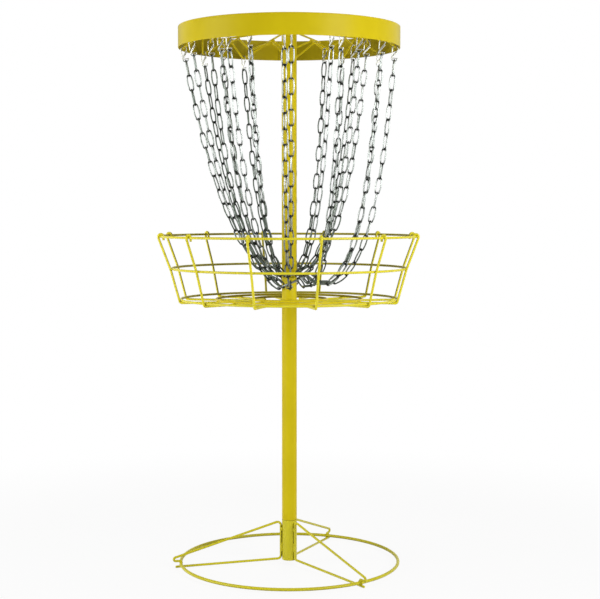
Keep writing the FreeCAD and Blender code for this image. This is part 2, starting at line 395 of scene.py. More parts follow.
def bend_arc(
    before: np.ndarray, corner: np.ndarray, after: np.ndarray, radius: float, turn: float
) -> np.ndarray:
    """Points of the arc that rounds a corner.

    Args:
        before: A point on the run into the corner.
        corner: The corner.
        after: A point on the run out of it.
        radius: Bend radius.
        turn: Largest angle between two points, in degrees.

    Returns:
        The arc's points, in order.
    """
    into, out = unit(before - corner), unit(after - corner)
    half = math.acos(float(np.clip(into @ out, -1.0, 1.0))) / 2
    reach = radius / math.tan(half)
    centre = corner + unit(into + out) * (radius / math.sin(half))
    start, end = corner + into * reach - centre, corner + out * reach - centre
    whole = math.pi - 2 * half
    steps = max(2, math.ceil(math.degrees(whole) / turn))
    shares = np.linspace(0.0, 1.0, steps + 1)[:, None]
    arc = np.sin((1 - shares) * whole) * start + np.sin(shares * whole) * end
    return centre + arc / math.sin(whole)


def bent_route(
    corners: Sequence[np.ndarray], bends: Sequence[float], turn: float = 8.0
) -> np.ndarray:
    """Route along straight runs with rounded corners.

    Args:
        corners: Ends and corners, in order.
        bends: Bend radius at each inner corner.
        turn: Largest angle between two points of a bend, in degrees.

    Returns:
        The route's points.
    """
    rows = [np.asarray(corners[0])[None]]
    for i, bend in enumerate(bends, start=1):
        rows.append(bend_arc(corners[i - 1], corners[i], corners[i + 1], bend, turn))
    rows.append(np.asarray(corners[-1])[None])
    route = np.concatenate(rows)
    moved_on = np.linalg.norm(np.diff(route, axis=0), axis=1) > 1e-6
    return route[np.r_[True, moved_on]]


def in_plane(angle: float, profile: Sequence[Pair]) -> list[np.ndarray]:
    """Place (radius, height) points in the upright plane at an angle."""
    return [polar(r, angle, z) for r, z in profile]


@dataclass
class Skin:
    """Points and faces of one closed skin, with the marks at its points."""

    points: np.ndarray
    quads: np.ndarray
    caps: list[list[int]] = field(default_factory=list)
    marks: dict[Mark, np.ndarray] = field(default_factory=dict)
    outward: np.ndarray | None = None  # direction of the surface at each point, if known

    @property
    def reach(self) -> np.ndarray:
        """Distance of each point from the pole's centre line."""
        return np.hypot(self.points[:, 0], self.points[:, 1])

    def paint_shade_inside_and_under(self, inside: float, under: float) -> "Skin":
        """Paint shade on the sides that face the pole and on those that face the ground.

        Args:
            inside: Darkness of the painted shade on the sides that face the pole.
            under: Darkness of the painted shade on the sides that face the ground.

        Returns:
            This skin.
        """
        facing = -np.einsum("ij,ij->i", self.outward, unit(self.points * (1.0, 1.0, 0.0)))
        wear_and_painted_shade = inside * ease(facing, 0.2, 0.7) + under * ease(-self.outward[:, 2], 0.1, 0.9)
        self.marks[Mark.SHADE_AND_GRIME] = np.maximum(wear_and_painted_shade, self.marks.get(Mark.SHADE_AND_GRIME, 0.0))
        return self

    def toned(self, tone: float) -> "Skin":
        """Give the whole skin one tone."""
        self.marks[Mark.TONE] = np.full(len(self.points), tone)
        return self

    def moved(self, basis: np.ndarray, place: np.ndarray) -> "Skin":
        """Copy turned by a basis, whose columns are the new axes, and moved to a place."""
        return Skin(self.points @ basis.T + place, self.quads, self.caps, dict(self.marks))


def wrap(rings: int, sides: int, closed: bool) -> np.ndarray:
    """Quads between successive rings of points.

    Args:
        rings: Number of rings.
        sides: Points in each ring.
        closed: Whether the last ring joins the first.

    Returns:
        Four point numbers for each face.
    """
    spans = rings if closed else rings - 1
    i, j = np.meshgrid(np.arange(spans), np.arange(sides), indexing="ij")
    near, far = i * sides, (i + 1) % rings * sides
    after = (j + 1) % sides
    return np.stack([near + j, near + after, far + after, far + j], axis=-1).reshape(-1, 4)


def sweep(
    route: np.ndarray, radius: float | np.ndarray, sides: int = BAR_SIDES, closed: bool = False
) -> Skin:
    """Round bar along a route.

    Args:
        route: Points of its centre line.
        radius: Its radius, or one for each point.
        sides: Points round its section.
        closed: Whether the route joins its own start.

    Returns:
        The bar's skin, capped if it is open.
    """
    reach = np.broadcast_to(np.asarray(radius, dtype=float), (len(route),))
    ahead = unit(np.roll(route, -1, axis=0) - route)
    behind = np.roll(ahead, 1, axis=0)
    if not closed:
        ahead[-1], behind[0] = behind[-1], ahead[0]
    tangents = unit(ahead + behind)
    normal = np.cross(tangents[0], UP)
    if np.linalg.norm(normal) < 0.05:  # the route starts upright
        normal = np.cross(tangents[0], (1.0, 0.0, 0.0))
    normals = np.empty_like(route)
    for i, tangent in enumerate(tangents):
        normal = unit(normal - tangent * (normal @ tangent))
        normals[i] = normal
    sideways = np.cross(tangents, normals)
    turns = 2 * math.pi * np.arange(sides)[:, None] / sides
    around = normals[:, None] * np.cos(turns) + sideways[:, None] * np.sin(turns)
    points = (route[:, None] + around * reach[:, None, None]).reshape(-1, 3)
    last = (len(route) - 1) * sides
    caps = [] if closed else [list(range(sides))[::-1], list(range(last, last + sides))]
    return Skin(points, wrap(len(route), sides, closed), caps, {}, around.reshape(-1, 3))


def cut_bar(route: np.ndarray, radius: float, sides: int = BAR_SIDES) -> Skin:
    """Round bar with sheared ends, whose edges are slightly rounded.

    Args:
        route: Points of its centre line.
        radius: Its radius.
        sides: Points round its section.

    Returns:
        The bar's skin.
    """
    first, last = unit(route[1] - route[0]), unit(route[-2] - route[-1])
    lips = np.array((0.0, 0.10, 0.30)) * radius
    scale = np.array((0.72, 0.92, 1.0)) * radius
    start = route[0] + lips[:, None] * first
    end = (route[-1] + lips[:, None] * last)[::-1]
    full = np.concatenate([start, route[1:-1], end])
    reach = np.concatenate([scale, np.full(len(route) - 2, radius), scale[::-1]])
    return sweep(full, reach, sides)


def ring_turns(
    radius: float, steps: int, close: Sequence[float]
) -> tuple[np.ndarray, np.ndarray]:
    """Steps round a ring, closer together at the joint that it starts from.

    Args:
        radius: Radius of the ring.
        steps: Even steps round it.
        close: Distances from the joint of the closer steps, in millimetres.

    Returns:
        Each step's angle in radians, and its distance from the joint along the ring.
    """
    near = np.array(close) * MM / radius
    even = 2 * math.pi * np.arange(1, steps) / steps
    margin = near[-1] * 1.5
    even = even[(even > margin) & (even < 2 * math.pi - margin)]
    turns = np.concatenate([-near[::-1], [0.0], near, even])
    return turns, radius * np.minimum(np.abs(turns), 2 * math.pi - turns)


def hoop(radius: float, height: float, bar: float, joint: float, steps: int = 220) -> Skin:
    """Bar bent to a level ring about the pole, with its ends butt welded.

    Args:
        radius: Ring radius to the bar's centre line.
        height: Height of that line.
        bar: Bar radius.
        joint: Angle of the weld.
        steps: Even steps round the ring.

    Returns:
        The ring's skin, with a bead and a dark undercut each side of it.
    """
    turns, away = ring_turns(radius, steps, (0.4, 0.8, 1.2, 1.7, 2.4, 3.4, 5.0))
    turns = turns + math.radians(joint)
    line = [radius * np.cos(turns), radius * np.sin(turns), np.full_like(turns, height)]
    (bead, wide), (dip, *beside), (dark, *around) = RING_BEAD, UNDERCUT, SOOT
    swell = bead * hump(away, wide) - dip * hump(away, *beside)
    ring = sweep(np.stack(line, axis=-1), bar * (1.0 + swell), closed=True)
    ring.marks[Mark.SHADE_AND_GRIME] = np.repeat(dark * hump(away, *around), BAR_SIDES)
    return ring


def lathe(profile: Sequence[Pair], turns: np.ndarray | int = 96) -> Skin:
    """Solid of revolution about the pole.

    Args:
        profile: Closed (radius, height) outline, outside going up.
        turns: Number of even steps, or each step's angle in radians.

    Returns:
        The solid's skin.
    """
    if isinstance(turns, int):
        turns = 2 * math.pi * np.arange(turns) / turns
    r, z = np.array(profile).T
    across, along = np.cos(turns)[:, None] * r, np.sin(turns)[:, None] * r
    points = np.stack([across, along, np.broadcast_to(z, across.shape)], axis=-1)
    quads = wrap(len(turns), len(r), True)[:, [0, 3, 2, 1]]
    return Skin(points.reshape(-1, 3), quads)


def rounded_profile(corners: Sequence[Pair], radii: Sequence[float], grain: float) -> list[Pair]:
    """Closed outline with rounded corners and long runs divided.

    Args:
        corners: (radius, height) corners.
        radii: Rounding at each corner, 0 for none.
        grain: Longest run left in one piece.

    Returns:
        The outline's points.
    """
    flat = [np.array((r, 0.0, z)) for r, z in corners]
    rows: list[np.ndarray] = []
    for i, (corner, radius) in enumerate(zip(flat, radii)):
        after = flat[(i + 1) % len(flat)]
        rows.extend(bend_arc(flat[i - 1], corner, after, radius, 30.0) if radius else [corner])
    outline: list[Pair] = []
    for here, there in zip(rows, rows[1:] + rows[:1]):
        parts = max(1, math.ceil(float(np.linalg.norm(there - here)) / grain))
        for share in np.arange(parts) / parts:
            spot = here + (there - here) * share
            outline.append((float(spot[0]), float(spot[2])))
    return outline


@dataclass
class WeldRod:
    """Lays weld beads, each a little different from the last."""

    seed: int
    grain: float = 0.0007  # between a bead's rings
    pitch: float = 0.0016  # between its ripples
    ripple: float = 0.09  # these three as shares of its radius
    lump: float = 0.05
    tip: float = 0.12
    soot: float = 0.04  # how dark its coat is
    sides: int = 10

    def __post_init__(self) -> None:
        """Start the run of random numbers."""
        self.chance = np.random.default_rng(self.seed)

    def bead(self, start: np.ndarray, end: np.ndarray, radius: float) -> Skin:
        """Rippled bead between two points.

        Args:
            start: Where it starts.
            end: Where it ends.
            radius: Its radius at the middle.

        Returns:
            The bead's skin.
        """
        length = float(np.linalg.norm(end - start))
        share = np.linspace(-1.0, 1.0, max(9, int(length / self.grain)))
        share[[0, -1]] *= 0.985
        if length < 4 * radius:
            body = np.sqrt(1.0 - share**2)
        else:
            body = np.sqrt((1.0 - np.abs(share)) * length / (2 * radius) + 0.02)
        phase = self.chance.uniform(0, 6)
        wave = 1.0 + self.ripple * np.sin(length / self.pitch * math.pi * share + phase)
        route = start + (end - start) * ((share + 1) / 2)[:, None]
        swell = np.maximum(radius * np.minimum(1.0, body) * wave, radius * self.tip)
        skin = sweep(route, swell, self.sides)
        centres = np.repeat(route, self.sides, axis=0)
        lumps = 1.0 + self.chance.normal(0.0, self.lump, len(centres))
        skin.points = centres + (skin.points - centres) * lumps[:, None]
        skin.marks[Mark.SHADE_AND_GRIME] = np.full(len(centres), self.soot)
        return skin

    def tack(self, spot: np.ndarray, along: np.ndarray, length: float, radius: float) -> Skin:
        """Short bead centred on a point, along a direction."""
        half = unit(along) * length / 2
        return self.bead(spot - half, spot + half, radius)


def join_skins(name: str, skins: Sequence[Skin]) -> bpy.types.Mesh:
    """Join skins in one mesh with smooth faces and sharp edges.

    Args:
        name: Name of the mesh.
        skins: The skins.

    Returns:
        The mesh.
    """
    starts = np.cumsum([0] + [len(s.points) for s in skins])
    faces: list[list[int]] = []
    for skin, start in zip(skins, starts):
        faces.extend((skin.quads + start).tolist())
        faces.extend([[n + int(start) for n in cap] for cap in skin.caps])
    mesh = bpy.data.meshes.new(name)
    mesh.from_pydata(np.concatenate([s.points for s in skins]), [], faces)
    for mark in Mark:
        plain = 0.5 if mark is Mark.TONE else 0.0
        values = [s.marks.get(mark, np.full(len(s.points), plain)) for s in skins]
        layer = mesh.attributes.new(mark.value, "FLOAT", "POINT")
        layer.data.foreach_set("value", np.concatenate(values).astype(np.float32))
    mesh.shade_smooth()
    mesh.set_sharp_from_angle(angle=math.radians(50))
    mesh.update()
    return mesh


def stand(
    name: str,
    data: bpy.types.ID,
    place: Sequence[float] = (0.0, 0.0, 0.0),
    way: Sequence[float] | None = None,
) -> bpy.types.Object:
    """Add an object to the scene.

    Args:
        name: Name of the object.
        data: Its mesh, light or camera.
        place: Where it stands.
        way: Direction that it looks in, for a light or a camera.

    Returns:
        The object.
    """
    thing = bpy.data.objects.new(name, data)
    thing.location = place
    if way is not None:
        thing.rotation_euler = Vector(way).to_track_quat("-Z", "Y").to_euler()
    bpy.context.scene.collection.objects.link(thing)
    return thing


# ---------------------------------------------------------------- sub-assemblies


def ring_size(node: str, bar: float) -> Pair:
    """Radius and height of the centre line of a level ring's bar, from its CAD node."""
    low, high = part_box(node)
    return (high.x - low.x) / 2 - bar * CORNER_REACH, (high.z + low.z) / 2


@dataclass
class SubAssembly:
    """Pieces that belong together and share a finish."""

    finish: Finish

    def place(
        self,
        name: str,
        skins: Sequence[Skin],
        body: str,
        stands_for: Sequence[str] = (),
        finish: Finish | None = None,
    ) -> None:
        """Make a piece, dress it and let it ride on its body.

        Args:
            name: Name of the piece.
            skins: Its skins.
            body: Body that it rides on.
            stands_for: CAD nodes that it is shown in place of.
            finish: Its finish, if not the sub-assembly's own.
        """
        finish = finish or self.finish
        piece = stand(name, join_skins(name, skins))
        piece.data.materials.append(finish.material())
        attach(piece, body)
        if stands_for:
            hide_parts(*stands_for)
        for node in stands_for:
            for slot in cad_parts[node].material_slots:
                slot.material = finish.material()
        LOG.info("%s: %d faces on %s", name, len(piece.data.polygons), body)


@dataclass
class PoleSection(SubAssembly):
    """One tube of the pole, with the swaged spigot that plugs into the tube below."""

    radius: float = 0.019
    wall: float = 0.002
    spigot: float = 0.0167
    throat: float = 0.0149
    swage: float = 0.0038
    lip: float = 0.0007
    edge: float = 0.0005
    crease: Pair = (0.0012, 0.90)  # height and darkness of the painted shade in the recesses at a joint
    rub_and_painted_sheen: Pair = (0.004, 0.75)  # how far below the shoulder the coat is thin, and how thin

    def build(self, name: str, node: str, body: Body, shoulder: float) -> None:
        """Build the tube, shaded at its joints and rubbed where its spigot slides.

        Args:
            name: Name of the piece.
            node: CAD node that it stands for.
            body: Body that it rides on.
            shoulder: Height of the shoulder above its spigot.
        """
        bottom, top = (corner.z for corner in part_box(node))
        bore, neck = self.radius - self.wall, shoulder + self.swage / 2
        corners = [
            (self.spigot, bottom), (self.spigot, shoulder), (self.radius, shoulder),
            (self.radius, top), (bore, top), (bore, shoulder + self.swage),
            (self.throat, neck), (self.throat, bottom),
        ]
        radii = [self.edge, 0.0, self.lip, self.lip, self.edge, 0.0, 0.0, self.edge]
        skin = lathe(rounded_profile(corners, radii, grain=0.02))
        z = skin.points[:, 2]
        (height, dark), (below, wear_and_painted_shade) = self.crease, self.rub_and_painted_sheen
        ends = (np.abs(z - shoulder) < height) | (np.abs(z - top) < height)
        inset = skin.reach < self.radius - HAIR
        plug = (skin.reach < self.spigot + 2 * HAIR) & (z < shoulder - below)
        skin.marks[Mark.SHADE_AND_GRIME] = np.where(inset & ends, dark, 0.0)
        skin.marks[Mark.RUB_AND_PAINTED_SHEEN] = np.where(plug, wear_and_painted_shade, 0.0)
        self.place(name, [skin], body.value, [node])


@dataclass
class Base(SubAssembly):
    """Ring, three bent-wire legs and the socket that they hold upright."""

    rod: float = 0.004
    wire: float = 0.003
    angles: tuple[float, ...] = (68.0, 188.0, 308.0)
    toe: float = 0.292  # these three are radii of a leg's ends and of its outer corner
    knee: float = 0.299
    landing: float = 0.276
    knee_rise: float = 0.0071  # of that corner above the landing
    bend: float = 0.009
    toe_bend: float = 0.005
    upright: float = 0.0221
    pole: float = 0.019
    wall: float = 0.002
    sleeve: Pair = (0.012, 0.116)
    edge: float = 0.0008  # rounding of the socket's outer edges
    bore_edge: float = 0.0005
    foot_clear: Pair = (0.006, 0.010)  # above the socket's foot, where its painted shade lines start
    mouth_clear: Pair = (0.016, 0.012)  # below its mouth, where they end
    crease: Pair = (5.0, 8.5)  # degrees from a leg, where such a line starts to fade and ends
    leg_crease: Pair = (0.0001, 0.0016)  # in from a leg's centre line, where the painted shade on its inner side starts and is full
    mouth: Pair = (0.0012, 0.8)  # depth and darkness of the painted shade in the socket's mouth
    stitches: tuple[Pair, ...] = ((0.034, 0.056), (0.087, 0.096))
    stitch_r: float = 0.0016
    stitch_place: Pair = (0.0009, 0.0024)  # out from the socket, and to each side of a leg
    tack: Pair = (0.009, 0.0016)  # length and radius of a tack under the ring
    top_tack: Pair = (0.009, 0.0018)  # and on top of it
    tack_gap: float = 0.0030
    tack_sink: float = 0.0004
    joint: float = 22.0
    wear_and_painted_shade: Pair = (0.26, 0.42)  # how dark the painted shade is on the sides that face the pole and the ground

    def build(self) -> None:
        """Build the ring, the legs, the socket and their welds."""
        body = Body.BASE.value
        ring_r, ring_z = ring_size("base_ring", self.rod)
        ring = hoop(ring_r, ring_z, self.rod, self.joint).paint_shade_inside_and_under(*self.wear_and_painted_shade)
        self.place("base_ring_rod", [ring], body, ["base_ring"])
        for i, angle in enumerate(self.angles, start=1):
            leg = self.leg(angle, ring_z + self.rod + self.wire + HAIR)
            self.place(f"base_leg_wire_{i}", [leg], body, [f"base_leg_{i}"])
        self.place("base_socket", [self.socket()], body, ["base_sleeve"])
        self.place("base_welds", self.welds(ring_r, ring_z), body)

    def leg(self, angle: float, landing_z: float) -> Skin:
        """One leg's wire, with painted shade where it stands against the socket between welds.

        Args:
            angle: Where the leg stands.
            landing_z: Height at which it lies on the ring.

        Returns:
            The wire's skin, from under the ring to on top of it.
        """
        low, high = self.sleeve
        corners = in_plane(angle, [
            (self.toe, self.wire), (self.upright, low + self.wire),
            (self.upright, high - self.wire), (self.knee, landing_z + self.knee_rise),
            (self.knee - self.toe_bend, landing_z), (self.landing, landing_z),
        ])
        route = bent_route(corners, [self.bend, self.bend, self.toe_bend, self.toe_bend])
        rise = np.linspace(low + self.wire + self.bend, high - self.wire - self.bend, num=41)
        straight = np.array([polar(self.upright, angle, z) for z in rise])
        on_rise = np.hypot(route[:, 0], route[:, 1]) < self.upright + 1e-5
        split = int(np.argmax(on_rise)) + 1
        skin = cut_bar(np.concatenate([route[:split], straight, route[split:]]), self.wire)
        close = ease(self.upright - skin.reach, *self.leg_crease)
        skin.marks[Mark.SHADE_AND_GRIME] = self.unwelded(skin.points[:, 2]) * close
        return skin

    def unwelded(self, heights: np.ndarray) -> np.ndarray:
        """Find the stretches of the uprights between their welds.

        Args:
            heights: Heights to look at.

        Returns:
            1 between the welds, and 0 on them and past the socket's ends.
        """
        low, high = self.sleeve
        gap = ease(heights, *(low + rise for rise in self.foot_clear))
        gap = gap * (1 - ease(heights, *(high - drop for drop in self.mouth_clear)))
        for start, end in self.stitches:
            inside = ease(heights, start - MM, start + MM)
            gap = gap * (1 - inside * (1 - ease(heights, end - MM, end + MM)))
        return gap

    def socket(self) -> Skin:
        """Tube at the middle, with painted shade in its mouth and along the creases beside the
        legs.

        Returns:
            The tube's skin.
        """
        low, high = self.sleeve
        bore = self.pole - self.wall
        corners = [(bore, low), (self.pole, low), (self.pole, high), (bore, high)]
        radii = [self.bore_edge, self.edge, self.edge, self.bore_edge]
        skin = lathe(rounded_profile(corners, radii, grain=0.002), turns=144)
        x, y, z = skin.points.T
        around = np.degrees(np.arctan2(y, x))
        nearest = np.min([apart(around, angle) for angle in self.angles], axis=0)
        beside = (1 - ease(nearest, *self.crease)) * self.unwelded(z)
        deep, dark = self.mouth
        mouth = np.where(z > high - deep, dark, 0.0)
        outside = skin.reach > self.pole - 3 * HAIR
        skin.marks[Mark.SHADE_AND_GRIME] = np.where(outside, beside, mouth)
        return skin

    def welds(self, ring_r: float, ring_z: float) -> list[Skin]:
        """Stitches up the socket and tacks where the legs meet the ring.

        Args:
            ring_r: Radius of the ring.
            ring_z: Height of its centre line.

        Returns:
            The beads.
        """
        rod, beads = WeldRod(3), []
        clear, aside = self.stitch_place
        for angle in self.angles:
            side, out = polar(1.0, angle + 90.0), polar(1.0, angle)
            for low, high in self.stitches:
                for sign in (-1.0, 1.0):
                    foot = out * (self.pole + clear) + side * sign * aside
                    beads.append(rod.bead(foot + UP * low, foot + UP * high, self.stitch_r))
            under = out * ring_r + UP * (ring_z - self.rod + self.tack_sink)
            over = out * ring_r + UP * (ring_z + self.rod)
            for offset in (side * -self.tack_gap, side * self.tack_gap):
                beads.append(rod.tack(under + offset, out, *self.tack))
                beads.append(rod.tack(over + offset, out, *self.top_tack))
        return beads


@dataclass
class Basket(SubAssembly):
    """Catching basket: rings, hooked side wires and their welds."""

    floor_finish: Finish
    wire: float = 0.003
    stand_off: float = 0.006355  # between the centre lines of two wires that cross
    flat: float = 0.002856  # of a side wire's upper bend below the rim's centre line
    hook_drop: float = 0.009
    knee_bend: float = 0.030
    first_angle: float = 13.0
    count: int = 12
    short_end: float = 0.090
    ring_gap: float = 0.090  # between the two rings on the floor
    hub: float = 0.019
    hub_gap: float = 0.0004  # from the hub to the ends of its wires
    hub_weld: Pair = (0.0012, 0.0036)  # out from the hub, and above its wires' centre lines
    tack: Pair = (0.0078, 0.0023)  # length and radius of a tack at a ring
    hub_tack: Pair = (0.005, 0.0019)  # and of one at the hub
    tack_gap: float = 0.0026  # from a wire's plane to its tacks there
    joints: tuple[float, ...] = (148.0, 97.0, 35.0, 255.0, 70.0)
    wear_and_painted_shade: Pair = (0.66, 0.18)  # how dark the painted shade is on the sides that face the pole and the ground

    def __post_init__(self) -> None:
        """Read the radius and height of each ring, those on the floor last."""
        names = ("rim", "middle_ring", "bottom_ring", "floor_rings")
        rings = [ring_size(f"basket_{name}", self.wire) for name in names]
        self.rim, self.mid, self.bottom, (outer, height) = rings
        self.floor = [(outer, height), (outer - self.ring_gap, height)]

    def build(self) -> None:
        """Build the rings, the side wires and the welds."""
        body = Body.BASKET.value
        rings = {"rim": self.rim, "middle_ring": self.mid, "bottom_ring": self.bottom}
        for (name, size), joint in zip(rings.items(), self.joints):
            skin = hoop(*size, self.wire, joint).paint_shade_inside_and_under(*self.wear_and_painted_shade)
            self.place(f"basket_{name}_wire", [skin], body, [f"basket_{name}"])
        floor = [
            hoop(*size, self.wire, joint, steps=150).paint_shade_inside_and_under(*self.wear_and_painted_shade)
            for size, joint in zip(self.floor, self.joints[3:])
        ]
        node = "basket_floor_rings"
        self.place("basket_floor_wires", floor, body, [node], self.floor_finish)
        bends = [self.stand_off, self.stand_off, self.hook_drop, self.knee_bend, self.stand_off]
        for i in range(self.count):
            route = bent_route(self.side_corners(i), bends)
            skin = cut_bar(route, self.wire).paint_shade_inside_and_under(*self.wear_and_painted_shade)
            number = f"{i + 1:02d}"
            self.place(f"basket_side_wire_{number}", [skin], body, [f"basket_wire_{number}"])
        self.place("basket_welds", self.welds(), body)

    def angle(self, index: int) -> float:
        """Angle of a side wire."""
        return self.first_angle + index * 360.0 / self.count

    def side_corners(self, index: int) -> list[np.ndarray]:
        """Corners of a side wire, from its hook over the rim to its end on the floor.

        Args:
            index: Which wire.

        Returns:
            The wire's ends and corners.
        """
        off, (rim_r, rim_z) = self.stand_off, self.rim
        floor_z = self.bottom[1] - off
        knee = (self.mid[0] + off + 2 * HAIR, self.mid[1])
        lean = math.atan2(knee[0] - self.bottom[0] - off, knee[1] - floor_z)
        corner = self.bottom[0] + off * math.tan((math.pi / 2 - lean) / 2)
        end = self.short_end if index % 2 == 0 else self.hub + self.hub_gap
        return in_plane(self.angle(index), [
            (rim_r - off, rim_z - self.hook_drop), (rim_r - off, rim_z + off),
            (rim_r + off, rim_z + off), (rim_r + off, rim_z - self.flat), knee,
            (corner, floor_z), (end, floor_z),
        ])

    def welds(self) -> list[Skin]:
        """Tacks at every crossing of a side wire with a ring, and at the hub.

        Returns:
            The beads.
        """
        rod, beads = WeldRod(11), []
        half, (clear, rise) = self.stand_off / 2, self.hub_weld
        (rim_r, rim_z), (mid_r, mid_z) = self.rim, self.mid
        crossings = [(rim_r + half, rim_z), (rim_r, rim_z + half), (mid_r + half, mid_z)]
        crossings += [(r, z - half) for r, z in (self.bottom, *self.floor)]
        for i in range(self.count):
            angle = self.angle(i)
            side, out = polar(1.0, angle + 90.0), polar(1.0, angle)
            for spot in in_plane(angle, crossings):
                beads.append(rod.tack(spot, side, *self.tack))
            if i % 2:
                foot = polar(self.hub + clear, angle, self.bottom[1] - self.stand_off + rise)
                for offset in (side * -self.tack_gap, side * self.tack_gap):
                    beads.append(rod.tack(foot + offset, out, *self.hub_tack))
        return beads


@dataclass(frozen=True)
class HangerRow:
    """Where the V wires that hang one row of chains have their feet and tips."""

    node: str
    foot: Pair  # radius and height
    tip: float  # radius
    turn: float = 0.0  # of the feet from midway between the spokes


@dataclass
class TopRack(SubAssembly):
    """Band, spokes, chain hangers and the rings that gather the chains."""

    zinc: Finish
    wire: float = 0.0025
    band_r: float = 0.278
    sheet: float = 0.0015
    pole: float = 0.019
    spoke_z: float = 1.357
    tip_z: float = 1.3515
    spoke_angle: float = 12.5
    count: int = 12
    rows: tuple[HangerRow, ...] = (
        HangerRow("outer_hangers", (0.268, 1.311), 0.233),
        HangerRow("inner_hangers", (0.197, 1.325), 0.197, 4.0),
    )
    hanger_bend: float = 0.007
    tip_trim: float = 0.8  # degrees that a tip stops short of its spoke
    spoke_gaps: Pair = (0.0002, 0.0006)  # from the pole and the band to a spoke's ends
    weld_gaps: Pair = (0.0006, 0.0016)  # and to its welds
    tip_weld: Pair = (0.0008, 0.0022)  # inward of the hangers' tips, and above them
    side_tack: Pair = (0.0058, 0.0015)  # length and radius of a tack beside a spoke's end
    under_tack: Pair = (0.0050, 0.0014)  # of one under its end
    tip_tack: Pair = (0.0100, 0.0024)  # and of one at the hangers' tips
    tack_gap: float = 0.0022
    gathering: tuple[tuple[str, float], ...] = (("inner", 205.0), ("outer", 250.0))
    least_lean: float = 0.1  # of a gathering ring, as a slope; below this it is level
    edge: float = 0.0006
    seam: float = 96.0
    seam_dent: Pair = (0.00035, 0.0011)  # depth and width of the dent at the seam
    seam_shade: Pair = (0.25, 0.0012)  # how dark it is, and how wide
    spoke_dent: float = 0.00016  # how far the band is drawn in at a spoke
    waver: float = 0.00012  # and how far it is out of round
    inner_painted_shade: tuple[Pair, ...] = (
        (0, 0.30), (28, 0.50), (50, 0.48), (56, 0.26), (66, 0.22), (74, 0.42), (84, 0.46),
        (89, 0.22), (104, 0.16), (113, 0.30), (119, 0.58), (125, 0.50), (130, 0.12),
        (136, 0.55), (148, 0.66), (160, 0.45), (180, 0.30), (215, 0.45), (250, 0.22),
        (290, 0.48), (325, 0.25), (360, 0.30),
    )  # how dark the painted shade and shadows are inside the band, by angle
    outer_painted_shade: tuple[Pair, ...] = ((0.0, 0.34), (180.0, 0.46))  # angles and darkness of painted shade on the band's outside, at its sides
    painted_shade_width: float = 15.0  # degrees

    def build(self) -> None:
        """Build the band, the wire rack, its welds and the gathering rings."""
        body = Body.TOP.value
        self.place("band_hoop", [self.band()], body, ["band"])
        spokes = [self.spoke(self.spoke_at(i)) for i in range(self.count)]
        self.place("spoke_wires", spokes, body, ["top_spokes"])
        for row in self.rows:
            wires = [self.hanger(self.spoke_at(i + 0.5), row) for i in range(self.count)]
            self.place(f"{row.node}_wires", wires, body, [row.node])
        self.place("rack_welds", self.welds(), body)
        for row, joint in self.gathering:
            node = f"{row}_collector_ring"
            ring = self.gathering_ring(node, joint)
            self.place(f"{row}_gathering_ring", [ring], body, [node], self.zinc)

    def gathering_ring(self, node: str, joint: float) -> Skin:
        """Ring that one row of chains ends on, leaning as its node does.

        Args:
            node: CAD node of the ring.
            joint: Angle of its weld.

        Returns:
            The ring's skin.
        """
        low, high = (np.array(corner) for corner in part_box(node))
        centre, reach = (low + high) / 2, (high - low) / 2
        radius = reach[1] - self.wire * CORNER_REACH
        rise = max(reach[2] - self.wire, 0.0) / radius
        lean = math.asin(rise) if rise > self.least_lean else 0.0
        cos, sin = math.cos(lean), math.sin(lean)
        basis = np.array(((cos, 0.0, -sin), (0.0, 1.0, 0.0), (sin, 0.0, cos)))
        return hoop(radius, 0.0, self.wire, joint, steps=96).moved(basis, centre)

    def spoke_at(self, index: float) -> float:
        """Angle of a spoke, or of a chain midway between two."""
        return self.spoke_angle + index * 360.0 / self.count

    def band(self) -> Skin:
        """Rolled hoop, drawn in slightly at each spoke, with a butt seam at the back.

        Returns:
            The band's skin.
        """
        low, high = (corner.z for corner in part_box("band"))
        inside = self.band_r - self.sheet
        corners = [(inside, low), (self.band_r, low), (self.band_r, high), (inside, high)]
        profile = rounded_profile(corners, [self.edge] * 4, grain=0.008)
        turns, away = ring_turns(self.band_r, 288, (0.5, 1.0, 1.6, 2.4, 3.6, 5.4))
        skin = lathe(profile, turns + math.radians(self.seam))
        away = np.repeat(away, len(profile))
        angle = np.degrees(np.arctan2(skin.points[:, 1], skin.points[:, 0]))
        spoke = np.cos(np.radians((angle - self.spoke_angle) * self.count))
        lobe = np.sin(np.radians(angle * 2 + 40.0)) + 0.6 * np.sin(np.radians(angle * 5))
        inward = self.spoke_dent * (1 + spoke) + self.waver * (1.6 + lobe)
        (deep, wide), (dark, shade_wide) = self.seam_dent, self.seam_shade
        inward += deep * hump(away, wide)
        skin.points = skin.points - unit(skin.points * (1.0, 1.0, 0.0)) * inward[:, None]
        # Painted shade and shadows inside the band, and painted shade outside at its sides.
        faces_in = skin.reach < inside + self.sheet * 0.4
        inner = np.interp(angle % 360.0, *np.array(self.inner_painted_shade).T)
        spots = [(apart(angle, place), depth) for place, depth in self.outer_painted_shade]
        outer = sum(depth * hump(gap, self.painted_shade_width) for gap, depth in spots)
        skin.marks[Mark.SHADE_AND_GRIME] = np.where(faces_in, inner, outer) + dark * hump(away, shade_wide)
        return skin

    def spoke(self, angle: float) -> Skin:
        """Straight bar from the pole to the band.

        Args:
            angle: Where it stands.

        Returns:
            The bar's skin.
        """
        inner, outer = self.spoke_gaps
        stops = np.linspace(self.pole + inner, self.band_r - self.sheet - outer, num=6)
        return cut_bar(np.array([polar(r, angle, self.spoke_z) for r in stops]), self.wire)

    def hanger(self, angle: float, row: HangerRow) -> Skin:
        """V of bent wire that hangs one chain.

        Args:
            angle: Midway between the spokes that carry it.
            row: Row that it belongs to.

        Returns:
            The wire's skin.
        """
        spread = 180.0 / self.count - self.tip_trim
        first, last = (polar(row.tip, angle + s * spread, self.tip_z) for s in (-1, 1))
        foot = polar(row.foot[0], angle + row.turn, row.foot[1])
        return cut_bar(bent_route([first, foot, last], [self.hanger_bend]), self.wire)

